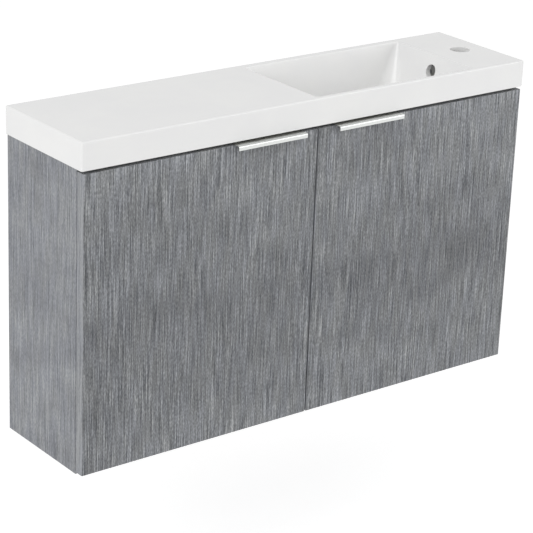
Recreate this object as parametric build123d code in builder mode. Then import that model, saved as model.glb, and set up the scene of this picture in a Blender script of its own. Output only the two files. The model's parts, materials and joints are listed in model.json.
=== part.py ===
from build123d import *
import os

# Slim wall-hung vanity cabinet with two doors and a one-piece cast basin.
# Millimetres. X runs to the right, the front faces -Y and Z is up.
# The origin is on the wall, at the centre of the four wall plate screws.

# Basin slab
BASIN_W = 900.0
BASIN_D = 220.0
BASIN_H = 46.0
DECK_T = 16.0
SKIRT_T = 14.0
BASIN_EDGE_R = 3.0
BASIN_OVERHANG = 4.0

# Bowl: its mouth, and how far each wall leans in on the way down
BOWL_LEFT = 0.0
BOWL_W = 338.0
BOWL_FRONT_RIM = 8.0
BOWL_BACK_RIM = 15.0
BOWL_DEPTH = 86.0
BOWL_LEFT_RUN = 110.0
BOWL_RIGHT_RUN = 24.0
BOWL_FRONT_RUN = 48.0
BOWL_BACK_RUN = 14.0
BOWL_MOUTH_R = 5.0
BOWL_FLOOR_R = 36.0
BOWL_FLOOR_FILLET = 12.0
BOWL_RIM_R = 2.0
BOWL_WALL = 10.0

# Holes in the basin
TAP_R = 17.5
TAP_FROM_RIGHT = 50.0
TAP_RIM_R = 1.0
WASTE_R = 22.5
WASTE_SEAT_R = 32.0
WASTE_SEAT_DEPTH = 3.0
WASTE_BOSS_R = 34.0
WASTE_BOSS_H = 6.0
OVERFLOW_R = 11.5
OVERFLOW_DROP = 28.5
OVERFLOW_FROM_FRONT = 105.0

# Cabinet boards
CAB_H = 508.0
BOARD_T = 16.0
RAIL_H = 80.0
UPPER_RAIL_DROP = 68.0
FRONT_RAIL_D = 60.0
SHELF_D = 160.0
SHELF_RISE = 205.0
SHELF_PLAY = 1.0
EDGE_EASE = 0.6

# Doors
DOOR_T = 18.0
DOOR_GAP = 2.0
DOOR_TOP_GAP = 5.0
DOOR_BOTTOM_SET = 4.0
DOOR_MEETING_GAP = 3.0
DOOR_EASE = 1.0

# Edge pull handles
HANDLE_L = 136.0
HANDLE_FROM_MEETING = 32.0
HANDLE_PLATE_T = 2.0
HANDLE_REACH = 14.5
HANDLE_LIP_H = 7.5
HANDLE_LIP_T = 3.0
HANDLE_LIP_R = 2.4
HANDLE_BACK_SET = 1.0
HANDLE_SCREW_SPACING = 96.0
HANDLE_SCREW_R = 1.7
HANDLE_SCREW_HEAD_R = 3.4
HANDLE_SCREW_L = 18.0

# Hinges: places on the cabinet are from the side panel's outer face and its front edge,
# places on the door are from the door's outer edge and its back face
HINGE_FROM_DOOR_END = 85.0
CUP_R = 17.5
CUP_DEPTH = 11.5
CUP_WALL = 1.0
CUP_FROM_EDGE = 22.5
CUP_FLANGE_T = 1.0
CUP_FLANGE_END = 7.0
CUP_FLANGE_W = 28.0
CUP_FLANGE_SET = 4.0
CUP_FLANGE_R = 8.0
CUP_SCREW_SPACING = 48.0
CUP_SCREW_SET = 6.0
CUP_SCREW_R = 1.75
CUP_SCREW_HEAD_R = 3.4
CUP_SCREW_HEAD_H = 0.8
CUP_SCREW_L = 12.0
CUP_NOTCH_HALF = 9.0
CUP_RELIEF_DEPTH = 1.8
CUP_RELIEF_TO = 9.2
CUP_RELIEF_HALF = 7.9
CUP_LUG_IN = 8.2
CUP_LUG_OUT = 12.8
CUP_LUG_LOW = 8.0
CUP_LUG_HIGH = 0.4
CUP_LUG_FROM = 9.6
CUP_LUG_TO = 16.6
LONG_ARM_PIVOT = (38.0, 24.0)
LONG_CUP_PIVOT = (11.7, 1.7)
LONG_BEND = (27.0, 0.7)
LONG_HALF_W = 1.0
LONG_CHEEK_IN = 5.2
LONG_CHEEK_OUT = 7.2
LONG_WEB_FROM = 4.0
LONG_WEB_L = 8.0
LONG_BEND_R = 3.3
HOOK_ARM_PIVOT = (29.2, 2.7)
HOOK_CUP_PIVOT = (13.4, 4.95)
HOOK_BEND = (29.3, -12.3)
HOOK_BEND_R = 2.3
HOOK_HALF_W = 0.8
HOOK_HALF_H = 2.8
PIN_R = 0.9
ARM_PIN_R = 1.1
PIN_EYE_WALL = 0.7
PIVOT_PLAY = 0.05
OPEN_PIVOT_PLAY = 0.5
ARM_LENGTH = 62.0
ARM_WALL = 1.6
ARM_EAR_PLAY = 0.3
ARM_EAR_L = 12.0
ARM_SIDE_PLAY = 0.6
ARM_FLOOR_T = 1.4
ARM_TAIL_H = 9.0
ARM_FLOOR_START = 8.0
ARM_NOSE_R = 2.2
ARM_SHOULDER_R = 3.0
PLATE_T = 2.0
PLATE_RAIL_T = 3.0
PLATE_FROM = 27.0
PLATE_TO = 61.0
PLATE_HALF_H = 8.0
PLATE_WING_HALF_H = 22.0
PLATE_WING_HALF_W = 6.0
PLATE_RAIL_HALF_H = 6.0
PLATE_SCREW_SET = 37.0
PLATE_SCREW_SPACING = 32.0
PLATE_SCREW_R = 2.5
PLATE_SCREW_HEAD_R = 3.8
PLATE_SCREW_HEAD_H = 1.6
PLATE_SCREW_L = 11.0
ARM_SCREW_SET = 52.0
ARM_SCREW_R = 2.2
ARM_SCREW_HEAD_R = 3.6
ARM_SCREW_HEAD_H = 2.2
SIDE_SCREW_SET = 40.0

# Joinery inside the boards
DOWEL_R = 4.0
DOWEL_L = 32.0
DOWEL_IN_FACE = 11.0
DOWEL_PLAY = 0.1
DOWEL_SPREAD = 110.0
RAIL_DOWEL_SPREAD = 48.0
FRONT_RAIL_DOWEL_SPREAD = 32.0
CAM_R = 7.5
CAM_DEPTH = 12.5
CAM_SET = 24.0
CAM_BOLT_R = 3.0
SHELF_PIN_R = 2.5
SHELF_PIN_OUT = 9.0
SHELF_PIN_DEPTH = 8.0
SHELF_PIN_SPREAD = 96.0
BUFFER_R = 3.0
BUFFER_T = 1.7
BUFFER_FROM_END = 30.0
BUFFER_FROM_DOOR_EDGE = 0.3

# Wall hangers
HANGER_DROP = 4.0
HANGER_H = 55.0
HANGER_W = 20.0
HANGER_D = 37.0
HANGER_BACK_SET = 9.0
HANGER_SCREW_R = 2.0
HANGER_SCREW_HEAD_R = 3.6
HANGER_SCREW_HEAD_H = 1.4
HANGER_SCREW_L = 32.0
HANGER_SCREW_SPACING = 32.0
HOOK_W = 10.0
HOOK_T = 3.0
HOOK_TIP_L = 6.0
HOOK_REACH_IN = 14.0
HOOK_PLAY = 0.3
WALL_PLATE_W = 60.0
WALL_PLATE_T = 2.0
WALL_PLATE_SET = 51.0
WALL_PLATE_BELOW = 18.0
WALL_LIP_RISE = 16.0
WALL_LIP_OUT = 7.0
WALL_LIP_H = 10.0
WALL_HOLE_R = 2.75
WALL_HOLE_SPACING = 18.0
WALL_HOLE_DROP = 40.0

SIDES = {"left": -1, "right": 1}
ENDS = ("top", "bottom")

# Levels and planes worked out from the sizes above
CAB_W = BASIN_W - 2 * BASIN_OVERHANG
CAB_TOP = WALL_HOLE_DROP
BASIN_TOP = CAB_TOP + BASIN_H
CAB_BOTTOM = CAB_TOP - CAB_H
CAB_D = BASIN_D - DOOR_T - DOOR_GAP
DOOR_TOP = CAB_TOP - DOOR_TOP_GAP
DOOR_BOTTOM = CAB_BOTTOM + DOOR_BOTTOM_SET
DOOR_BACK = -CAB_D - DOOR_GAP
INNER_HALF = CAB_W / 2 - BOARD_T
UPPER_RAIL_TOP = CAB_TOP - UPPER_RAIL_DROP
FLOOR_TOP = CAB_BOTTOM + BOARD_T
SHELF_BOTTOM = FLOOR_TOP + SHELF_RISE
BOWL_FLOOR = BASIN_TOP - BOWL_DEPTH
HINGE_Z = {"top": DOOR_TOP - HINGE_FROM_DOOR_END, "bottom": DOOR_BOTTOM + HINGE_FROM_DOOR_END}
CUP_FLANGE_L = CUP_SCREW_SPACING + 2 * CUP_FLANGE_END
ARM_CHEEK_IN = LONG_CHEEK_OUT + ARM_SIDE_PLAY
ARM_CHEEK_OUT = ARM_CHEEK_IN + ARM_WALL
ARM_EAR_IN = HOOK_HALF_H + ARM_EAR_PLAY
ARM_EAR_OUT = ARM_EAR_IN + ARM_WALL
ARM_FLOOR = BOARD_T + PLATE_RAIL_T
HANDLE_TOP = DOOR_TOP + HANDLE_PLATE_T
HOUSING_TOP = CAB_TOP - HANGER_DROP
LIP_TOP = WALL_LIP_RISE + WALL_LIP_H
WALL_PLATE_CENTRE = CAB_W / 2 - WALL_PLATE_SET

os.makedirs("parts", exist_ok=True)


def write(piece, name):
    """Label a finished piece and write it to its file."""
    piece.part.label = name
    export_step(piece.part, f"parts/{name}.step")


def cab(side, inward, depth):
    """Plan position from a side panel's outer face and its front edge."""
    return (side * (CAB_W / 2 - inward), -CAB_D + depth)


def on_door(side, inward, depth):
    """Plan position from a door's outer edge and its back face."""
    return cab(side, inward, -DOOR_GAP - depth)


def box(x, y, z, mode=Mode.ADD):
    """A block between two limits along each axis."""
    with Locations(((x[0] + x[1]) / 2, (y[0] + y[1]) / 2, (z[0] + z[1]) / 2)):
        Box(abs(x[1] - x[0]), abs(y[1] - y[0]), abs(z[1] - z[0]), mode=mode)


def rod(start, direction, radius, length, mode=Mode.ADD):
    """A round rod or hole from a point along a direction."""
    with Locations(Plane(origin=start, z_dir=direction)):
        Cylinder(radius, length, align=(Align.CENTER, Align.CENTER, Align.MIN), mode=mode)


def upright(plan, z, radius, height, mode=Mode.ADD):
    """A round pin or hole that stands on a level."""
    rod((plan[0], plan[1], z), (0, 0, 1), radius, height, mode)


# Places of the dowels, cams and cam bolts that join the boards
def butt_joints():
    """Every butted joint: board, point on the face, way into the board, spread direction and spread."""
    joints = []
    floor_mid = CAB_BOTTOM + BOARD_T / 2
    rail_y = -BOARD_T / 2
    for side in SIDES.values():
        face = side * INNER_HALF
        inward = (-side, 0, 0)
        joints.append(("bottom_panel", (face, -CAB_D / 2, floor_mid), inward, (0, 1, 0), DOWEL_SPREAD))
        rails = {"upper_rail": UPPER_RAIL_TOP - RAIL_H / 2, "lower_rail": FLOOR_TOP + RAIL_H / 2}
        for rail, mid in rails.items():
            joints.append((rail, (face, rail_y, mid), inward, (0, 0, 1), RAIL_DOWEL_SPREAD))
    front_y = -CAB_D + FRONT_RAIL_D / 2
    front_z = CAB_TOP - BOARD_T / 2
    for face, inward in ((-INNER_HALF, (1, 0, 0)), (-BOARD_T / 2, (-1, 0, 0))):
        joints.append(("front_rail", (face, front_y, front_z), inward, (0, 1, 0), FRONT_RAIL_DOWEL_SPREAD))
    divider_y = -(CAB_D + BOARD_T) / 2
    joints.append(("divider", (0, divider_y, FLOOR_TOP), (0, 0, 1), (0, 1, 0), DOWEL_SPREAD))
    return joints


def dowel_places(board=None, near=None):
    """Dowel centres on their faces, with the direction into the butting board."""
    for name, face, inward, spread_dir, spread in butt_joints():
        if board in (None, name) and (near is None or near(face, name)):
            for sign in (-1, 1):
                point = tuple(f + sign * spread / 2 * d for f, d in zip(face, spread_dir))
                yield point, inward


def drill_dowels(board=None, near=None):
    """Holes for every dowel that enters the board being made."""
    for point, inward in dowel_places(board, near):
        start = tuple(p - (DOWEL_IN_FACE + DOWEL_PLAY) * d for p, d in zip(point, inward))
        rod(start, inward, DOWEL_R + DOWEL_PLAY, DOWEL_L + 2 * DOWEL_PLAY, Mode.SUBTRACT)


def cam_places():
    """Cam centres: board name, the point on its drilled face and the way into the board."""
    for name, face, inward, spread_dir, spread in butt_joints():
        centre = tuple(f + CAM_SET * d for f, d in zip(face, inward))
        if name in ("bottom_panel", "front_rail"):
            yield name, face, inward, (centre[0], centre[1], centre[2] - BOARD_T / 2), (0, 0, 1)
        elif name in ("upper_rail", "lower_rail"):
            yield name, face, inward, (centre[0], centre[1] + BOARD_T / 2, centre[2]), (0, -1, 0)


def drill_cams(board):
    """Cam pockets and the bolt holes that lead to them, in one butting board."""
    for name, face, inward, mouth, into in cam_places():
        if name == board:
            rod(mouth, into, CAM_R + DOWEL_PLAY, CAM_DEPTH + DOWEL_PLAY, Mode.SUBTRACT)
            rod(face, inward, CAM_BOLT_R + DOWEL_PLAY, CAM_SET, Mode.SUBTRACT)


def drill_cam_bolts(near):
    """Holes in a face for the cam bolts that screw into it."""
    for name, face, inward, mouth, into in cam_places():
        if near(face, name):
            back = tuple(-d for d in inward)
            rod(face, back, CAM_BOLT_R + DOWEL_PLAY, DOWEL_IN_FACE + DOWEL_PLAY, Mode.SUBTRACT)


def shelf_pin_places(face):
    """Shelf pin centres on one upright face."""
    level = SHELF_BOTTOM - SHELF_PIN_R
    return [(face, -CAB_D / 2 + sign * SHELF_PIN_SPREAD / 2, level) for sign in (-1, 1)]


def hanger_screw_places(x):
    """Hanger screw centres on a plane across the cabinet."""
    y = -HANGER_BACK_SET - HANGER_D / 2
    mid = HOUSING_TOP - HANGER_H / 2
    return [(x, y, mid + sign * HANGER_SCREW_SPACING / 2) for sign in (-1, 1)]


def bowl_outline(depth, wall=0.0):
    """The bowl's rounded plan at a depth below the basin's top, grown by a wall."""
    share = depth / BOWL_DEPTH
    left = BOWL_LEFT + BOWL_LEFT_RUN * share - wall
    right = BOWL_LEFT + BOWL_W - BOWL_RIGHT_RUN * share + wall
    front = -BASIN_D + BOWL_FRONT_RIM + BOWL_FRONT_RUN * share - wall
    back = -BOWL_BACK_RIM - BOWL_BACK_RUN * share + wall
    radius = BOWL_MOUTH_R + (BOWL_FLOOR_R - BOWL_MOUTH_R) * share + wall
    with BuildSketch(Plane.XY.offset(BASIN_TOP - depth)) as outline:
        with Locations(((left + right) / 2, (front + back) / 2)):
            RectangleRounded(right - left, back - front, radius)
    return outline.sketch


# Basin
WASTE_X = BOWL_LEFT + (BOWL_LEFT_RUN + BOWL_W - BOWL_RIGHT_RUN) / 2
WASTE_Y = (-BASIN_D + BOWL_FRONT_RIM + BOWL_FRONT_RUN - BOWL_BACK_RIM - BOWL_BACK_RUN) / 2
TAP_X = BASIN_W / 2 - TAP_FROM_RIGHT
BOSS_BOTTOM = BOWL_FLOOR - BOWL_WALL - WASTE_BOSS_H
ROUND_MATCH = 0.01
with BuildPart() as bowl_space:
    loft([bowl_outline(0.0), bowl_outline(BOWL_DEPTH)], ruled=True)
    fillet(bowl_space.faces().sort_by(Axis.Z)[0].edges(), BOWL_FLOOR_FILLET)

with BuildPart() as basin:
    box((-BASIN_W / 2, BASIN_W / 2), (-BASIN_D, 0), (CAB_TOP, BASIN_TOP))
    fillet(basin.edges().filter_by(Axis.Z), BASIN_EDGE_R)
    fillet(basin.faces().sort_by(Axis.Z)[-1].edges(), BASIN_EDGE_R)
    box(
        (-BASIN_W / 2 + SKIRT_T, BASIN_W / 2 - SKIRT_T),
        (-BASIN_D + SKIRT_T, -SKIRT_T),
        (CAB_TOP, BASIN_TOP - DECK_T),
        Mode.SUBTRACT,
    )
    shell = [bowl_outline(DECK_T / 2, BOWL_WALL), bowl_outline(BOWL_DEPTH + BOWL_WALL, BOWL_WALL)]
    loft(shell, ruled=True)
    upright((WASTE_X, WASTE_Y), BOSS_BOTTOM, WASTE_BOSS_R, WASTE_BOSS_H + BOWL_WALL / 2)
    add(bowl_space.part, mode=Mode.SUBTRACT)
    top_face = basin.faces().filter_by(Plane.XY).sort_by(Axis.Z)[-1]
    fillet(top_face.inner_wires()[0].edges(), BOWL_RIM_R)
    upright((TAP_X, -BASIN_D / 2), BASIN_TOP - DECK_T, TAP_R, DECK_T, Mode.SUBTRACT)
    round_edges = basin.edges().filter_by(GeomType.CIRCLE)
    tap_edges = round_edges.filter_by(lambda e: abs(e.radius - TAP_R) < ROUND_MATCH)
    fillet(tap_edges.sort_by(Axis.Z)[-1], TAP_RIM_R)
    upright((WASTE_X, WASTE_Y), BOWL_FLOOR - WASTE_SEAT_DEPTH, WASTE_SEAT_R, BOWL_WALL, Mode.SUBTRACT)
    upright((WASTE_X, WASTE_Y), BOSS_BOTTOM, WASTE_R, BOWL_FLOOR - BOSS_BOTTOM, Mode.SUBTRACT)
    overflow_start = (
        BOWL_LEFT + BOWL_W - BOWL_RIGHT_RUN - BOWL_WALL,
        -BASIN_D + OVERFLOW_FROM_FRONT,
        BASIN_TOP - OVERFLOW_DROP,
    )
    rod(overflow_start, (1, 0, 0), OVERFLOW_R, BOWL_RIGHT_RUN + 2 * BOWL_WALL, Mode.SUBTRACT)
write(basin, "basin")

# Side panels
for name, side in SIDES.items():
    on_this = lambda face, board: board != "divider" and face[0] == side * INNER_HALF
    with BuildPart() as panel:
        box((side * INNER_HALF, side * CAB_W / 2), (-CAB_D, 0), (CAB_BOTTOM, CAB_TOP))
        chamfer(panel.faces().sort_by(Axis.X)[0 if side < 0 else -1].edges(), EDGE_EASE)
        drill_dowels(near=on_this)
        drill_cam_bolts(on_this)
        for end in ENDS:
            for sign in (-1, 1):
                x, y = cab(side, BOARD_T, PLATE_SCREW_SET)
                start = (x, y, HINGE_Z[end] + sign * PLATE_SCREW_SPACING / 2)
                rod(start, (side, 0, 0), PLATE_SCREW_R, PLATE_SCREW_L, Mode.SUBTRACT)
        for start in hanger_screw_places(side * INNER_HALF):
            rod(start, (side, 0, 0), HANGER_SCREW_R, HANGER_SCREW_L - HANGER_W, Mode.SUBTRACT)
        if name == "left":
            for start in shelf_pin_places(side * INNER_HALF):
                rod(start, (side, 0, 0), SHELF_PIN_R, SHELF_PIN_DEPTH, Mode.SUBTRACT)
    write(panel, f"{name}_side_panel")

# Bottom panel, rails and divider
with BuildPart() as bottom_panel:
    box((-INNER_HALF, INNER_HALF), (-CAB_D, 0), (CAB_BOTTOM, FLOOR_TOP))
    drill_dowels("bottom_panel")
    drill_cams("bottom_panel")
    drill_dowels("divider")
write(bottom_panel, "bottom_panel")

for name, top in (("upper_rail", UPPER_RAIL_TOP), ("lower_rail", FLOOR_TOP + RAIL_H)):
    with BuildPart() as rail:
        box((-INNER_HALF, INNER_HALF), (-BOARD_T, 0), (top - RAIL_H, top))
        drill_dowels(name)
        drill_cams(name)
    write(rail, f"back_{name}")

with BuildPart() as front_rail:
    box((-INNER_HALF, -BOARD_T / 2), (-CAB_D, -CAB_D + FRONT_RAIL_D), (CAB_TOP - BOARD_T, CAB_TOP))
    drill_dowels("front_rail")
    drill_cams("front_rail")
write(front_rail, "front_rail")

with BuildPart() as divider:
    box((-BOARD_T / 2, BOARD_T / 2), (-CAB_D, -BOARD_T), (FLOOR_TOP, CAB_TOP))
    drill_dowels("divider")
    on_divider = lambda face, board: board == "front_rail" and face[0] == -BOARD_T / 2
    drill_dowels(near=on_divider)
    drill_cam_bolts(on_divider)
    for start in shelf_pin_places(-BOARD_T / 2):
        rod(start, (1, 0, 0), SHELF_PIN_R, SHELF_PIN_DEPTH, Mode.SUBTRACT)
write(divider, "divider")

with BuildPart() as shelf:
    box(
        (-INNER_HALF + SHELF_PLAY, -BOARD_T / 2 - SHELF_PLAY),
        (-BOARD_T - SHELF_PLAY - SHELF_D, -BOARD_T - SHELF_PLAY),
        (SHELF_BOTTOM, SHELF_BOTTOM + BOARD_T),
    )
    chamfer(shelf.faces().sort_by(Axis.Y)[0].edges(), EDGE_EASE)
write(shelf, "shelf")

with BuildPart() as shelf_pins:
    for face, into in ((-INNER_HALF, -1), (-BOARD_T / 2, 1)):
        for start in shelf_pin_places(face):
            rod(start, (into, 0, 0), SHELF_PIN_R, SHELF_PIN_DEPTH)
            rod(start, (-into, 0, 0), SHELF_PIN_R, SHELF_PIN_OUT)
write(shelf_pins, "shelf_pins")

# Dowels, cams and cam bolts
with BuildPart() as dowels:
    for point, inward in dowel_places():
        start = tuple(p - DOWEL_IN_FACE * d for p, d in zip(point, inward))
        rod(start, inward, DOWEL_R, DOWEL_L)
write(dowels, "dowels")

with BuildPart() as cams:
    for board, face, inward, mouth, into in cam_places():
        rod(mouth, into, CAM_R, CAM_DEPTH)
    for board, face, inward, mouth, into in cam_places():
        rod(face, inward, CAM_BOLT_R + DOWEL_PLAY, CAM_SET, Mode.SUBTRACT)
write(cams, "cam_locks")

with BuildPart() as cam_bolts:
    for board, face, inward, mouth, into in cam_places():
        start = tuple(f - DOWEL_IN_FACE * d for f, d in zip(face, inward))
        rod(start, inward, CAM_BOLT_R, DOWEL_IN_FACE + CAM_SET)
write(cam_bolts, "cam_bolts")

# Buffers on the divider's front edge, one near each end of each door
with BuildPart() as buffers:
    for side in SIDES.values():
        x = side * (DOOR_MEETING_GAP / 2 + BUFFER_FROM_DOOR_EDGE + BUFFER_R)
        for z in (DOOR_TOP - BUFFER_FROM_END, DOOR_BOTTOM + BUFFER_FROM_END):
            rod((x, -CAB_D, z), (0, -1, 0), BUFFER_R, BUFFER_T)
write(buffers, "door_buffers")


def handle_screw_places(side):
    """Screw centres on a handle's plate."""
    mid = side * (DOOR_MEETING_GAP / 2 + HANDLE_FROM_MEETING + HANDLE_L / 2)
    return [(mid + sign * HANDLE_SCREW_SPACING / 2, DOOR_BACK - DOOR_T / 2) for sign in (-1, 1)]


# Doors, with their handles and screws
for name, side in SIDES.items():
    front = DOOR_BACK - DOOR_T
    with BuildPart() as door:
        width = (side * DOOR_MEETING_GAP / 2, side * CAB_W / 2)
        box(width, (front, DOOR_BACK), (DOOR_BOTTOM, DOOR_TOP))
        fillet(door.faces().sort_by(Axis.Y)[0].edges(), DOOR_EASE)
        for end in ENDS:
            x, y = on_door(side, CUP_FROM_EDGE, 0)
            rod((x, y, HINGE_Z[end]), (0, -1, 0), CUP_R, CUP_DEPTH, Mode.SUBTRACT)
            for sign in (-1, 1):
                x, y = on_door(side, CUP_FROM_EDGE + CUP_SCREW_SET, 0)
                start = (x, y, HINGE_Z[end] + sign * CUP_SCREW_SPACING / 2)
                rod(start, (0, -1, 0), CUP_SCREW_R, CUP_SCREW_L - CUP_FLANGE_T, Mode.SUBTRACT)
        for plan in handle_screw_places(side):
            depth = HANDLE_SCREW_L - HANDLE_PLATE_T
            upright(plan, DOOR_TOP - depth, HANDLE_SCREW_R, depth, Mode.SUBTRACT)
    write(door, f"{name}_door")

    near = side * (DOOR_MEETING_GAP / 2 + HANDLE_FROM_MEETING)
    with BuildPart() as handle:
        with BuildSketch(Plane.YZ.offset(min(near, near + side * HANDLE_L))):
            with BuildLine():
                Polyline(
                    (DOOR_BACK - HANDLE_BACK_SET, DOOR_TOP),
                    (DOOR_BACK - HANDLE_BACK_SET, HANDLE_TOP),
                    (front - HANDLE_REACH, HANDLE_TOP),
                    (front - HANDLE_REACH, HANDLE_TOP - HANDLE_LIP_H),
                    (front - HANDLE_REACH + HANDLE_LIP_T, HANDLE_TOP - HANDLE_LIP_H),
                    (front - HANDLE_REACH + HANDLE_LIP_T, DOOR_TOP),
                    close=True,
                )
            make_face()
        extrude(amount=HANDLE_L)
        outer = handle.edges().filter_by(Axis.X).group_by(Axis.Y)[0].sort_by(Axis.Z)[-1]
        fillet(outer, HANDLE_LIP_R)
        for plan in handle_screw_places(side):
            with Locations((plan[0], plan[1], HANDLE_TOP)):
                CounterSinkHole(HANDLE_SCREW_R, HANDLE_SCREW_HEAD_R, HANDLE_PLATE_T, 90)
    write(handle, f"{name}_handle")

    with BuildPart() as handle_screws:
        for plan in handle_screw_places(side):
            upright(plan, HANDLE_TOP - HANDLE_SCREW_L, HANDLE_SCREW_R, HANDLE_SCREW_L)
            head = HANDLE_SCREW_HEAD_R - HANDLE_SCREW_R
            with Locations((plan[0], plan[1], HANDLE_TOP - head / 2)):
                Cone(HANDLE_SCREW_R, HANDLE_SCREW_HEAD_R, head)
    write(handle_screws, f"{name}_handle_screws")


def link_profile(side, points, bend_r, half_w, holes):
    """A bent link seen from above: a strip through three points with a walled hole at each end."""
    plan = [cab(side, *point) for point in points]
    with BuildSketch() as profile:
        with BuildLine():
            FilletPolyline(*plan, radius=bend_r)
        trace(line_width=2 * half_w)
        for point, hole in zip((plan[0], plan[-1]), holes):
            with Locations(point):
                Circle(hole + PIN_EYE_WALL)
        for point, hole in zip((plan[0], plan[-1]), holes):
            with Locations(point):
                Circle(hole, mode=Mode.SUBTRACT)
    return profile.sketch


def cup_pivot(pivot):
    """A pivot in the cup, given from the panel's outer face and front edge."""
    return (pivot[0], -DOOR_GAP - pivot[1])


# Hinge links: the long one is a fork, the hooked one runs inside it
for name, side in SIDES.items():
    for end in ENDS:
        level = HINGE_Z[end]
        points = (LONG_ARM_PIVOT, LONG_BEND, cup_pivot(LONG_CUP_PIVOT))
        holes = (ARM_PIN_R + PIVOT_PLAY, PIN_R + PIVOT_PLAY)
        cheek = link_profile(side, points, LONG_BEND_R, LONG_HALF_W, holes)
        arm_end = Vector(*cab(side, *LONG_ARM_PIVOT))
        along = (Vector(*cab(side, *LONG_BEND)) - arm_end).normalized()
        with BuildPart() as long_link:
            for start in (level - LONG_CHEEK_OUT, level + LONG_CHEEK_IN):
                with Locations((0, 0, start)):
                    add(extrude(cheek, amount=LONG_CHEEK_OUT - LONG_CHEEK_IN, mode=Mode.PRIVATE))
            with BuildSketch(Plane.XY.offset(level - LONG_CHEEK_IN)):
                with BuildLine():
                    web_start = arm_end + along * LONG_WEB_FROM
                    Line(web_start, web_start + along * LONG_WEB_L)
                trace(line_width=2 * LONG_HALF_W)
            extrude(amount=2 * LONG_CHEEK_IN)
        write(long_link, f"{name}_{end}_hinge_long_link")

        points = (HOOK_ARM_PIVOT, HOOK_BEND, cup_pivot(HOOK_CUP_PIVOT))
        holes = (ARM_PIN_R + PIVOT_PLAY, PIN_R + OPEN_PIVOT_PLAY)
        strip = link_profile(side, points, HOOK_BEND_R, HOOK_HALF_W, holes)
        with BuildPart() as hook_link:
            with Locations((0, 0, level - HOOK_HALF_H)):
                add(extrude(strip, amount=2 * HOOK_HALF_H, mode=Mode.PRIVATE))
        write(hook_link, f"{name}_{end}_hinge_hook_link")


def arm_side(side, pivot, eye_r, height, length):
    """One upright wall of a hinge arm: it spreads from the arm's floor to a pivot."""
    with BuildSketch() as outline:
        with Locations(cab(side, *pivot)):
            Circle(eye_r)
        with Locations(cab(side, ARM_FLOOR + height / 2, ARM_FLOOR_START + length / 2)):
            Rectangle(height, length)
        make_hull()
        with Locations(cab(side, *pivot)):
            Circle(ARM_PIN_R, mode=Mode.SUBTRACT)
    return outline.sketch


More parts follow.
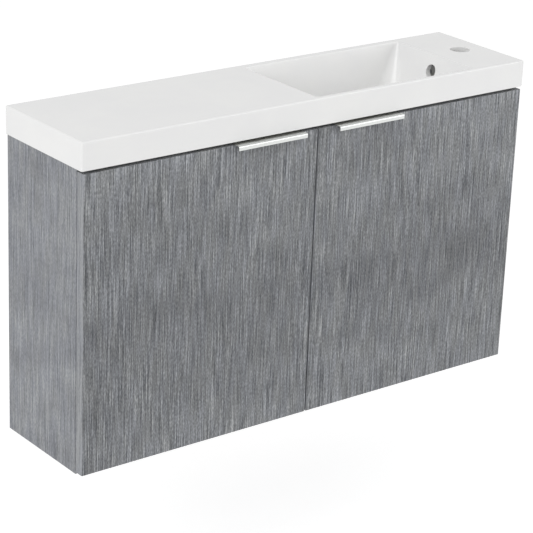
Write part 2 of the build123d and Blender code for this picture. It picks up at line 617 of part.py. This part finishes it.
# Hinge cups, arms and mounting plates
for name, side in SIDES.items():
    for end in ENDS:
        level = HINGE_Z[end]
        cup_x, cup_y = on_door(side, CUP_FROM_EDGE, 0)
        with BuildPart() as cup:
            rod((cup_x, cup_y, level), (0, -1, 0), CUP_R, CUP_DEPTH)
            rod((cup_x, cup_y, level), (0, -1, 0), CUP_R - CUP_WALL, CUP_DEPTH - CUP_WALL, Mode.SUBTRACT)
            near_x, high_y = on_door(side, CUP_LUG_FROM, CUP_LUG_HIGH)
            far_x, low_y = on_door(side, CUP_LUG_TO, CUP_LUG_LOW)
            for sign in (-1, 1):
                lug_z = (level + sign * CUP_LUG_IN, level + sign * CUP_LUG_OUT)
                box((near_x, far_x), (low_y, high_y), lug_z)
            rod((cup_x, cup_y, level), (0, -1, 0), CUP_R, CUP_DEPTH, Mode.INTERSECT)
            for pivot in (LONG_CUP_PIVOT, HOOK_CUP_PIVOT):
                upright(on_door(side, *pivot), level - CUP_LUG_OUT, PIN_R, 2 * CUP_LUG_OUT, Mode.SUBTRACT)
            relief_x, relief_y = on_door(side, CUP_RELIEF_TO, CUP_RELIEF_DEPTH)
            relief_z = (level - CUP_RELIEF_HALF, level + CUP_RELIEF_HALF)
            box((cup_x + side * CUP_R, relief_x), (relief_y, cup_y), relief_z, Mode.SUBTRACT)
            with BuildSketch(Plane.XZ.offset(-cup_y)):
                with Locations((on_door(side, CUP_FROM_EDGE + CUP_FLANGE_SET, 0)[0], level)):
                    RectangleRounded(CUP_FLANGE_W, CUP_FLANGE_L, CUP_FLANGE_R)
                with Locations((cup_x, level)):
                    Circle(CUP_R - CUP_WALL, mode=Mode.SUBTRACT)
                with Locations((cup_x + side * CUP_R, level)):
                    Rectangle(2 * CUP_R, 2 * CUP_NOTCH_HALF, mode=Mode.SUBTRACT)
                screw_x = on_door(side, CUP_FROM_EDGE + CUP_SCREW_SET, 0)[0]
                with Locations((screw_x, level)):
                    with GridLocations(0, CUP_SCREW_SPACING, 1, 2):
                        Circle(CUP_SCREW_R, mode=Mode.SUBTRACT)
            extrude(amount=-CUP_FLANGE_T)
        write(cup, f"{name}_{end}_hinge_cup")

        cheek = arm_side(side, LONG_ARM_PIVOT, ARM_SHOULDER_R, ARM_TAIL_H, ARM_LENGTH - ARM_FLOOR_START)
        ear = arm_side(side, HOOK_ARM_PIVOT, ARM_NOSE_R, ARM_FLOOR_T, ARM_EAR_L)
        with BuildPart() as arm:
            for outline, inner in ((cheek, ARM_CHEEK_IN), (ear, ARM_EAR_IN)):
                for start in (level - inner - ARM_WALL, level + inner):
                    with Locations((0, 0, start)):
                        add(extrude(outline, amount=ARM_WALL, mode=Mode.PRIVATE))
            x0, y0 = cab(side, ARM_FLOOR, ARM_FLOOR_START)
            x1, y1 = cab(side, ARM_FLOOR + ARM_FLOOR_T, ARM_LENGTH)
            box((x0, x1), (y0, y1), (level - ARM_CHEEK_IN, level + ARM_CHEEK_IN))
            for depth in (SIDE_SCREW_SET, ARM_SCREW_SET):
                x, y = cab(side, ARM_FLOOR, depth)
                rod((x, y, level), (-side, 0, 0), ARM_SCREW_R, ARM_FLOOR_T, Mode.SUBTRACT)
        write(arm, f"{name}_{end}_hinge_arm")

        with BuildPart() as plate:
            x0, y0 = cab(side, BOARD_T, PLATE_FROM)
            x1, y1 = cab(side, BOARD_T + PLATE_T, PLATE_TO)
            rail_x = cab(side, ARM_FLOOR, 0)[0]
            wing_y = cab(side, 0, PLATE_SCREW_SET)[1]
            wing = (wing_y - PLATE_WING_HALF_W, wing_y + PLATE_WING_HALF_W)
            box((x0, x1), (y0, y1), (level - PLATE_HALF_H, level + PLATE_HALF_H))
            box((x0, x1), wing, (level - PLATE_WING_HALF_H, level + PLATE_WING_HALF_H))
            box((x0, rail_x), (y0, y1), (level - PLATE_RAIL_HALF_H, level + PLATE_RAIL_HALF_H))
            for sign in (-1, 1):
                start = (x1, wing_y, level + sign * PLATE_SCREW_SPACING / 2)
                rod(start, (side, 0, 0), PLATE_SCREW_R, PLATE_T, Mode.SUBTRACT)
            x, y = cab(side, ARM_FLOOR, ARM_SCREW_SET)
            rod((x, y, level), (side, 0, 0), ARM_SCREW_R, PLATE_RAIL_T, Mode.SUBTRACT)
        write(plate, f"{name}_{end}_hinge_plate")

# Pins that stay in the cups, and the screws that hold the cups
for name, side in SIDES.items():
    with BuildPart() as cup_pins:
        for end in ENDS:
            level = HINGE_Z[end]
            reach = CUP_LUG_OUT - CUP_WALL
            upright(on_door(side, *HOOK_CUP_PIVOT), level - reach, PIN_R, 2 * reach)
            for start in (level - reach, level + LONG_CHEEK_IN):
                upright(on_door(side, *LONG_CUP_PIVOT), start, PIN_R, reach - LONG_CHEEK_IN)
    write(cup_pins, f"{name}_cup_pins")

    with BuildPart() as cup_screws:
        for end in ENDS:
            for sign in (-1, 1):
                x, y = on_door(side, CUP_FROM_EDGE + CUP_SCREW_SET, -CUP_FLANGE_T)
                start = (x, y, HINGE_Z[end] + sign * CUP_SCREW_SPACING / 2)
                rod(start, (0, -1, 0), CUP_SCREW_R, CUP_SCREW_L)
                rod(start, (0, 1, 0), CUP_SCREW_HEAD_R, CUP_SCREW_HEAD_H)
    write(cup_screws, f"{name}_cup_screws")

# Pins and screws that stay on the cabinet
with BuildPart() as arm_pins:
    for side in SIDES.values():
        for end in ENDS:
            for pivot, reach in ((LONG_ARM_PIVOT, ARM_CHEEK_OUT), (HOOK_ARM_PIVOT, ARM_EAR_OUT)):
                upright(cab(side, *pivot), HINGE_Z[end] - reach, ARM_PIN_R, 2 * reach)
write(arm_pins, "hinge_arm_pins")

with BuildPart() as plate_screws:
    for side in SIDES.values():
        for end in ENDS:
            for sign in (-1, 1):
                x, y = cab(side, BOARD_T + PLATE_T, PLATE_SCREW_SET)
                start = (x, y, HINGE_Z[end] + sign * PLATE_SCREW_SPACING / 2)
                rod(start, (side, 0, 0), PLATE_SCREW_R, PLATE_T + PLATE_SCREW_L)
                rod(start, (-side, 0, 0), PLATE_SCREW_HEAD_R, PLATE_SCREW_HEAD_H)
write(plate_screws, "hinge_plate_screws")

with BuildPart() as arm_screws:
    for side in SIDES.values():
        for end in ENDS:
            x, y = cab(side, BOARD_T, ARM_SCREW_SET)
            rod((x, y, HINGE_Z[end]), (-side, 0, 0), ARM_SCREW_R, PLATE_RAIL_T + ARM_FLOOR_T)
            x, y = cab(side, ARM_FLOOR + ARM_FLOOR_T, ARM_SCREW_SET)
            rod((x, y, HINGE_Z[end]), (-side, 0, 0), ARM_SCREW_HEAD_R, ARM_SCREW_HEAD_H)
            x, y = cab(side, ARM_FLOOR, SIDE_SCREW_SET)
            rod((x, y, HINGE_Z[end]), (-side, 0, 0), ARM_SCREW_R, ARM_FLOOR_T + ARM_SCREW_HEAD_H)
write(arm_screws, "hinge_arm_screws")

# Wall hangers: a housing on each side panel, its hook, and the plate on the wall
for name, side in SIDES.items():
    hook_x = side * (INNER_HALF - HANGER_W / 2)
    housing_y = (-HANGER_BACK_SET - HANGER_D, -HANGER_BACK_SET)
    with BuildPart() as hanger:
        housing_x = (side * INNER_HALF, side * (INNER_HALF - HANGER_W))
        box(housing_x, housing_y, (HOUSING_TOP - HANGER_H, HOUSING_TOP))
        chamfer(hanger.edges().filter_by(Axis.X), EDGE_EASE)
        box(
            (hook_x - HOOK_W / 2 - HOOK_PLAY, hook_x + HOOK_W / 2 + HOOK_PLAY),
            (-HANGER_BACK_SET - HOOK_REACH_IN - HOOK_PLAY, -HANGER_BACK_SET),
            (LIP_TOP, LIP_TOP + HOOK_T + HOOK_PLAY),
            Mode.SUBTRACT,
        )
        for start in hanger_screw_places(side * (INNER_HALF - HANGER_W)):
            rod(start, (side, 0, 0), HANGER_SCREW_R, HANGER_W, Mode.SUBTRACT)
    write(hanger, f"{name}_hanger")

    with BuildPart() as hook:
        lip_back = -WALL_LIP_OUT + WALL_PLATE_T + HOOK_PLAY
        tip = (lip_back, lip_back + HOOK_T)
        width = (hook_x - HOOK_W / 2, hook_x + HOOK_W / 2)
        box(width, (-HANGER_BACK_SET - HOOK_REACH_IN, tip[1]), (LIP_TOP, LIP_TOP + HOOK_T))
        box(width, tip, (LIP_TOP - HOOK_TIP_L, LIP_TOP))
    write(hook, f"{name}_hanger_hook")

    with BuildPart() as wall_plate:
        centre = side * WALL_PLATE_CENTRE
        plate_x = (centre - WALL_PLATE_W / 2, centre + WALL_PLATE_W / 2)
        box(plate_x, (-WALL_PLATE_T, 0), (-WALL_PLATE_BELOW, WALL_LIP_RISE))
        box(plate_x, (-WALL_LIP_OUT, 0), (WALL_LIP_RISE - WALL_PLATE_T, WALL_LIP_RISE))
        box(plate_x, (-WALL_LIP_OUT, -WALL_LIP_OUT + WALL_PLATE_T), (WALL_LIP_RISE, LIP_TOP))
        for sign in (-1, 1):
            start = (centre, 0, sign * WALL_HOLE_SPACING / 2)
            rod(start, (0, -1, 0), WALL_HOLE_R, WALL_PLATE_T, Mode.SUBTRACT)
    write(wall_plate, f"{name}_wall_plate")

with BuildPart() as hanger_screws:
    for side in SIDES.values():
        for start in hanger_screw_places(side * (INNER_HALF - HANGER_W)):
            rod(start, (side, 0, 0), HANGER_SCREW_R, HANGER_SCREW_L)
            rod(start, (-side, 0, 0), HANGER_SCREW_HEAD_R, HANGER_SCREW_HEAD_H)
write(hanger_screws, "hanger_screws")
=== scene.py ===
import json
import math

import bpy
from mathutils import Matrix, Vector


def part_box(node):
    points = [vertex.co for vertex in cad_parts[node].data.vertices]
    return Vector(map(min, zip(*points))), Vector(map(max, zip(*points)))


# Slim wall-hung vanity cabinet with a cast basin: finishes, lights and camera.
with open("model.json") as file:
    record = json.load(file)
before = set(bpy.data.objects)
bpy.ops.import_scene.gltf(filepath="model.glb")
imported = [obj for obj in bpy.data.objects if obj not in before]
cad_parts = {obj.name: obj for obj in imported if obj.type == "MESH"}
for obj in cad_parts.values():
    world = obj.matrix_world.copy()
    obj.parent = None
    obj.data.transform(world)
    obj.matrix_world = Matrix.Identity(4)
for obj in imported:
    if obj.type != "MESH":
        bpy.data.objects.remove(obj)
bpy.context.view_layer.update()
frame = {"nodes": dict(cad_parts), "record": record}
nodes = frame["nodes"]

MM = 1000.0
WHITE = "#FFFFFF"

# The doors' lower and upper ends in millimetres, and how far the painted shade belt sways
door_low, door_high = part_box("left_door")
DOOR_BOTTOM_MM = round(door_low[2] * MM, 3)
DOOR_TOP_MM = round(door_high[2] * MM, 3)
SHADE_BELT_SWAY = 45.0
GRAIN_SWING = 3.0

# The camera stands in front of the left end and looks down on the basin
CAMERA_PLACE = (-2.055, -2.716, 1.043)
CAMERA_TURN = (68.869, -2.135, -37.313)
CAMERA_LENS = 142.24

# The unit hangs on a wall, with its basin 850 mm over the floor
FLOOR_LEVEL = -0.764
FLOOR_HALF = 12.0
FLOOR_LIFT = 0.47
ROOM_FILL = 0.62


def rgba(code):
    """Turns an sRGB hex colour into linear light."""
    levels = [int(code[i:i + 2], 16) / 255 for i in (1, 3, 5)]
    return [v / 12.92 if v <= 0.04045 else ((v + 0.055) / 1.055) ** 2.4 for v in levels] + [1.0]


def add(tree, kind, values=None, links=None, **settings):
    """Adds one node with its settings, its socket values and the links into it."""
    node = tree.nodes.new(kind)
    for name, value in settings.items():
        setattr(node, name, value)
    for socket, value in (values or {}).items():
        node.inputs[socket].default_value = value
    for socket, source in (links or {}).items():
        tree.links.new(source, node.inputs[socket])
    return node


def start_material(name):
    """An empty material with its output node, and the piece's own coordinates in millimetres."""
    material = bpy.data.materials.new(name)
    material.use_nodes = True
    tree = material.node_tree
    tree.nodes.clear()
    output = add(tree, "ShaderNodeOutputMaterial")
    place = add(tree, "ShaderNodeTexCoord")
    own = {0: place.outputs["Object"]}
    in_mm = add(tree, "ShaderNodeVectorMath", {1: (MM, MM, MM)}, own, operation="MULTIPLY")
    return material, tree, output, in_mm.outputs[0], place.outputs["Normal"]


def stretched(tree, place, sizes, offset=(0.0, 0.0, 0.0)):
    """Coordinates whose unit along each axis is the given size in millimetres."""
    scale = tuple(1 / size for size in sizes)
    return add(tree, "ShaderNodeMapping", {"Scale": scale, "Location": offset}, {"Vector": place}).outputs[0]


def noise(tree, place, sizes, detail=2.0, roughness=0.5, offset=(0.0, 0.0, 0.0)):
    """Noise with one feature in about the given millimetres along each axis."""
    vector = stretched(tree, place, sizes, offset)
    values = {"Scale": 1.0, "Detail": detail, "Roughness": roughness}
    return add(tree, "ShaderNodeTexNoise", values, {"Vector": vector}).outputs[0]


def ramp(tree, source, stops, interpolation="LINEAR"):
    """Colours along a value, as (place, sRGB hex) stops."""
    node = add(tree, "ShaderNodeValToRGB", links={"Fac": source})
    band = node.color_ramp
    band.interpolation = interpolation
    while len(band.elements) < len(stops):
        band.elements.new(0.5)
    for element, (place, code) in zip(band.elements, stops):
        element.position = place
        element.color = rgba(code)
    return node.outputs[0]


def blend_colours(tree, share, first, second, mode="MIX"):
    """Mixes two colours; each is a socket or an sRGB hex code, and the share a socket or a number."""
    node = add(tree, "ShaderNodeMix", data_type="RGBA", blend_type=mode)
    for socket, value in ((0, share), (6, first), (7, second)):
        if isinstance(value, str):
            node.inputs[socket].default_value = rgba(value)
        elif isinstance(value, (int, float)):
            node.inputs[socket].default_value = value
        else:
            tree.links.new(value, node.inputs[socket])
    return node.outputs[2]


def spread(tree, source, low, high, from_low=0.0, from_high=1.0):
    """Moves a value from one range to another."""
    values = {"From Min": from_low, "From Max": from_high, "To Min": low, "To Max": high}
    return add(tree, "ShaderNodeMapRange", values, {"Value": source}).outputs[0]


def combine(tree, operation, first, second):
    """One sum of two values; each is a socket or a number."""
    node = add(tree, "ShaderNodeMath", operation=operation)
    for socket, value in enumerate((first, second)):
        if isinstance(value, (int, float)):
            node.inputs[socket].default_value = value
        else:
            tree.links.new(value, node.inputs[socket])
    return node.outputs[0]


def bump(tree, height, depth_mm, strength=1.0):
    """A relief of the given depth."""
    values = {"Strength": strength, "Distance": depth_mm / MM}
    return add(tree, "ShaderNodeBump", values, {"Height": height}).outputs[0]


def facing(tree, normal, axis, low=0.6, high=0.8):
    """1 on faces that look along an axis, 0 elsewhere."""
    turned = add(tree, "ShaderNodeVectorMath", {1: axis}, {0: normal}, operation="DOT_PRODUCT")
    return spread(tree, turned.outputs["Value"], 0.0, 1.0, low, high)


def shade(tree, output, values, links):
    """The surface shader, with fixed values on its sockets and links for what varies."""
    shader = add(tree, "ShaderNodeBsdfPrincipled", values, links)
    tree.links.new(shader.outputs[0], output.inputs["Surface"])
    return shader


def cast_marble():
    """Cast marble under a polished gel coat: bright, even and glossy, and left matt where it isn't seen."""
    material, tree, output, place, normal = start_material("cast_marble_gel_coat")
    cloud = noise(tree, place, (90, 90, 90), detail=3)
    white = ramp(tree, cloud, [(0.35, "#EDEDED"), (0.65, "#F0F0EF")])
    under = facing(tree, normal, (0, 0, -1))
    raw = ramp(tree, noise(tree, place, (2.5, 2.5, 2.5), detail=4), [(0.3, "#D3D1CB"), (0.7, "#E2E0DA")])
    colour = blend_colours(tree, under, white, raw)
    wipe = spread(tree, noise(tree, place, (60, 25, 60), detail=4), 0.17, 0.23)
    matt = spread(tree, under, 0.0, 0.5)
    roughness = combine(tree, "ADD", wipe, matt)
    # The coat levels in shallow waves of about 12 mm
    relief = bump(tree, noise(tree, place, (12, 12, 12), detail=1), 0.02, 0.5)
    shade(tree, output, {"IOR": 1.5}, {"Base Color": colour, "Roughness": roughness, "Normal": relief})
    return material


def chipboard(tree, place):
    """The chips of a sawn board edge, 1 to 3 mm across."""
    chips = stretched(tree, place, (2.6, 2.6, 1.2))
    cells = add(tree, "ShaderNodeTexVoronoi", {"Scale": 1.0}, {"Vector": chips})
    tone = add(tree, "ShaderNodeSeparateColor", links={"Color": cells.outputs["Color"]}).outputs[0]
    return ramp(tree, tone, [(0.0, "#7D6446"), (0.4, "#A98D66"), (0.8, "#C7AF88"), (1.0, "#D9C7A4")])


def painted_mid_height_shadow(tree, place):
    """Painted shade: a darker belt which sways across both doors a little under the middle."""
    height = add(tree, "ShaderNodeSeparateXYZ", links={0: place}).outputs["Z"]
    waves = noise(tree, place, (160, 160, 300), detail=2, offset=(2, 4, 1))
    sway = spread(tree, waves, -SHADE_BELT_SWAY, SHADE_BELT_SWAY, 0.3, 0.7)
    level = spread(tree, combine(tree, "ADD", height, sway), 0.0, 1.0, DOOR_BOTTOM_MM, DOOR_TOP_MM)
    below = [(0.0, "#FFFFFF"), (0.15, "#F8F8F8"), (0.3, "#EDEDED")]
    above = [(0.42, "#DFDFE0"), (0.55, "#EEEEEE"), (0.78, "#F9F9F9"), (1.0, "#FFFFFF")]
    return ramp(tree, level, below + above, "B_SPLINE")


def oak_board(name, along, embossed, raw_backs=False):
    """Chipboard faced with a grey oak print. The grain runs along one axis in lines about 1.4 mm wide."""
    material, tree, output, place, normal = start_material(name)

    def run(across, length):
        return tuple(length if axis == along else across for axis in range(3))

    # The lines wander up to 1.5 mm sideways over 120 mm of length
    slow = stretched(tree, place, run(40, 120))
    drift = add(tree, "ShaderNodeTexNoise", {"Scale": 1.0, "Detail": 2.0}, {"Vector": slow}).outputs["Color"]
    centred = add(tree, "ShaderNodeVectorMath", {1: (0.5, 0.5, 0.5)}, {0: drift}, operation="SUBTRACT")
    swing = tuple(0.0 if axis == along else GRAIN_SWING for axis in range(3))
    sway = add(tree, "ShaderNodeVectorMath", {1: swing}, {0: centred.outputs[0]}, operation="MULTIPLY")
    swayed = {0: place, 1: sway.outputs[0]}
    wood = add(tree, "ShaderNodeVectorMath", links=swayed, operation="ADD").outputs[0]

    fine = noise(tree, wood, run(1.4, 70), detail=1)
    broad = noise(tree, wood, run(5, 200), detail=2, offset=(7, 3, 11))
    fleck = noise(tree, wood, run(1.4, 5), detail=1, offset=(17, 5, 2))
    lines = combine(tree, "MULTIPLY", fine, 0.58)
    for layer, share in ((broad, 0.07), (fleck, 0.35)):
        lines = combine(tree, "ADD", lines, combine(tree, "MULTIPLY", layer, share))
    if embossed:
        dark = [(0.34, "#505255"), (0.44, "#717376")]
        stops = dark + [(0.5, "#85878A"), (0.57, "#9A9C9F"), (0.68, "#C2C4C7")]
    else:
        stops = [(0.34, "#6B6E73"), (0.47, "#888A8F"), (0.55, "#96989C"), (0.68, "#B2B4B7")]
    tone = ramp(tree, lines, stops)

    # Slow clouds in the print, longer across the grain than along it
    cloud = noise(tree, place, run(150, 60), detail=3, offset=(3, 1, 5))
    clouded = ramp(tree, cloud, [(0.3, "#E4E4E5"), (0.5, "#F4F4F4"), (0.7, "#FFFFFF")])
    tone = blend_colours(tree, 1.0, tone, clouded, "MULTIPLY")
    if embossed:
        # Painted shade: a darker belt across both doors a little under the middle
        tone = blend_colours(tree, 1.0, tone, painted_mid_height_shadow(tree, place), "MULTIPLY")
        # The edge band is a smoother strip of the same print
        banded = combine(tree, "ADD", facing(tree, normal, (1, 0, 0)), facing(tree, normal, (-1, 0, 0)))
        band = ramp(tree, lines, [(0.35, "#7A7C80"), (0.65, "#A2A4A8")])
        tone = blend_colours(tree, banded, tone, band)
    patches = noise(tree, place, run(18, 70), detail=2, offset=(9, 9, 9))
    hue = ramp(tree, patches, [(0.4, "#FCFDFF"), (0.6, "#FFFFFD")])
    tone = blend_colours(tree, 1.0, tone, hue, "MULTIPLY")
    if raw_backs:
        sawn = facing(tree, normal, (0, 1, 0), 0.9, 0.95)
        tone = blend_colours(tree, sawn, tone, chipboard(tree, place))
    roughness = spread(tree, lines, 0.62, 0.46, 0.35, 0.65)
    relief = bump(tree, lines, 0.35 if embossed else 0.08, 0.9)
    shade(tree, output, {"IOR": 1.45}, {"Base Color": tone, "Roughness": roughness, "Normal": relief})
    return material


def metal(name, low, high, roughness, grain, relief_mm, relief_strength=0.4):
    """A bare or plated metal whose grain has the given millimetres along each axis."""
    material, tree, output, place, normal = start_material(name)
    marks = noise(tree, place, grain, detail=4, roughness=0.6)
    tone = ramp(tree, marks, [(0.3, low), (0.7, high)])
    rough = spread(tree, marks, roughness - 0.06, roughness + 0.06, 0.3, 0.7)
    relief = bump(tree, marks, relief_mm, relief_strength)
    shade(tree, output, {"Metallic": 1.0}, {"Base Color": tone, "Roughness": rough, "Normal": relief})
    return material


def galvanised_strip():
    """Hot-dip galvanised strip: flat crystals about 5 mm across, each a little different in tone."""
    material, tree, output, place, normal = start_material("galvanised_strip")
    spangle = stretched(tree, place, (5, 5, 5))
    crystals = add(tree, "ShaderNodeTexVoronoi", {"Scale": 1.0}, {"Vector": spangle})
    tone = add(tree, "ShaderNodeSeparateColor", links={"Color": crystals.outputs["Color"]}).outputs[0]
    colour = ramp(tree, tone, [(0.0, "#ABAFB2"), (1.0, "#C4C8CA")])
    rough = spread(tree, tone, 0.32, 0.5)
    shade(tree, output, {"Metallic": 1.0}, {"Base Color": colour, "Roughness": rough})
    return material


def moulded_plastic(name, low, high, roughness, values=None):
    """Moulded plastic with the fine spark texture of its tool, drawn at 0.8 mm."""
    material, tree, output, place, normal = start_material(name)
    grit = noise(tree, place, (0.8, 0.8, 0.8), detail=2)
    tone = ramp(tree, noise(tree, place, (25, 25, 25), detail=2), [(0.3, low), (0.7, high)])
    rough = spread(tree, grit, roughness - 0.05, roughness + 0.05)
    relief = bump(tree, grit, 0.04, 0.4)
    fixed = {"IOR": 1.5, **(values or {})}
    shade(tree, output, fixed, {"Base Color": tone, "Roughness": rough, "Normal": relief})
    return material


def bare_beech():
    """Turned beech dowels: pale and dry, with short darker flecks."""
    material, tree, output, place, normal = start_material("bare_beech")
    fleck = noise(tree, place, (4, 1, 1), detail=3)
    tone = ramp(tree, fleck, [(0.35, "#B98F62"), (0.6, "#D9B88C")])
    rough = spread(tree, fleck, 0.55, 0.7)
    shade(tree, output, {"IOR": 1.45}, {"Base Color": tone, "Roughness": rough})
    return material


ACROSS, UP = 0, 2
CLEAR = {"Transmission Weight": 0.5}
finishes = {
    "cast_mineral": cast_marble(),
    "embossed_board": oak_board("grey_oak_embossed_doors", UP, True),
    "woodgrain_board": oak_board("grey_oak_panels", UP, False, raw_backs=True),
    "carcass_board": oak_board("grey_oak_boards", ACROSS, False),
    # Drawn and anodised, with lines along the pull finer than a pixel, so drawn 0.5 mm wide
    "satin_aluminium": metal("satin_anodised_aluminium", "#C4C6C4", "#D2D4D2", 0.27, (60, 0.5, 0.5), 0.02),
    "beech": bare_beech(),
    "zinc_casting": metal("die_cast_zinc", "#9A9C9E", "#ACAEB0", 0.48, (1.2, 1.2, 1.2), 0.04),
    "clear_buffer": moulded_plastic("soft_clear_polyurethane", "#D4D4D0", "#DEDEDA", 0.3, CLEAR),
    "white_plastic": moulded_plastic("white_moulded_nylon", "#DFDFDB", "#E6E6E2", 0.45),
    "galvanised_steel": galvanised_strip(),
    "zinc_plated_steel": metal("zinc_plated_steel", "#B4B8BC", "#C8CBCE", 0.33, (1.5, 1.5, 1.5), 0.02),
    "nickel_plated_steel": metal("nickel_plated_steel", "#B5B1A9", "#C6C2BA", 0.22, (6, 6, 6), 0.01),
}
for part in frame["record"]["subparts"]:
    nodes[part["node"]].material_slots[0].material = finishes[part["material_slot"]]


def where_seen(tree):
    """1 for what the camera sees, directly or in a gloss or through something clear, 0 for plain light."""
    path = add(tree, "ShaderNodeLightPath")
    seen = combine(tree, "MAXIMUM", path.outputs["Is Camera Ray"], path.outputs["Is Glossy Ray"])
    return combine(tree, "MAXIMUM", seen, path.outputs["Is Transmission Ray"])


# Pale floor: it stays white to the camera and keeps the soft shadow
floor_mesh = bpy.data.meshes.new("pale_floor")
signs = [(-1, -1), (1, -1), (1, 1), (-1, 1)]
corners = [(x * FLOOR_HALF, y * FLOOR_HALF, FLOOR_LEVEL) for x, y in signs]
floor_mesh.from_pydata(corners, [], [(0, 1, 2, 3)])
floor = bpy.data.objects.new("pale_floor", floor_mesh)
bpy.context.scene.collection.objects.link(floor)
floor_material, tree, output, place, normal = start_material("pale_floor")
seen = where_seen(tree)
matt_floor = add(tree, "ShaderNodeBsdfDiffuse", {"Color": rgba("#E8E8E8")})
lift_strength = combine(tree, "MULTIPLY", seen, FLOOR_LIFT)
lift = add(tree, "ShaderNodeEmission", {"Color": rgba(WHITE)}, {"Strength": lift_strength})
both = add(tree, "ShaderNodeAddShader", links={0: matt_floor.outputs[0], 1: lift.outputs[0]})
# Clear from below, so that the underside of the unit can be seen
from_below = add(tree, "ShaderNodeNewGeometry").outputs["Backfacing"]
clear = add(tree, "ShaderNodeBsdfTransparent")
one_sided = add(tree, "ShaderNodeMixShader", links={0: from_below, 1: both.outputs[0], 2: clear.outputs[0]})
tree.links.new(one_sided.outputs[0], output.inputs["Surface"])
floor_mesh.materials.append(floor_material)

# World: plain white where it is seen, a softer fill where it only lights
world = bpy.data.worlds.new("white_room")
world.use_nodes = True
bpy.context.scene.world = world
tree = world.node_tree
tree.nodes.clear()
seen = where_seen(tree)
fill = add(tree, "ShaderNodeBackground", {"Color": rgba(WHITE), "Strength": ROOM_FILL})
plain = add(tree, "ShaderNodeBackground", {"Color": rgba(WHITE), "Strength": 1.0})
sky = add(tree, "ShaderNodeMixShader", links={0: seen, 1: fill.outputs[0], 2: plain.outputs[0]})
add(tree, "ShaderNodeOutputWorld", links={"Surface": sky.outputs[0]})


def softbox(name, place, target, width, height, power):
    """A rectangular lamp that looks at a point."""
    data = bpy.data.lights.new(name, "AREA")
    data.shape = "RECTANGLE"
    data.size, data.size_y, data.energy = width, height, power
    lamp = bpy.data.objects.new(name, data)
    lamp.location = place
    lamp.rotation_euler = (Vector(target) - Vector(place)).to_track_quat("-Z", "Y").to_euler()
    bpy.context.scene.collection.objects.link(lamp)


MIDDLE = (0.0, -0.1, -0.15)
softbox("key_left", (-3.7, -1.4, 2.0), MIDDLE, 2.4, 2.4, 67.0)
softbox("fill_right", (2.6, -2.9, 1.0), MIDDLE, 2.4, 1.8, 37.0)

camera_data = bpy.data.cameras.new("camera")
camera_data.lens = CAMERA_LENS
camera = bpy.data.objects.new("camera", camera_data)
camera.location = CAMERA_PLACE
camera.rotation_euler = [math.radians(angle) for angle in CAMERA_TURN]
bpy.context.scene.collection.objects.link(camera)
bpy.context.scene.camera = camera
bpy.context.scene.view_settings.view_transform = "Standard"
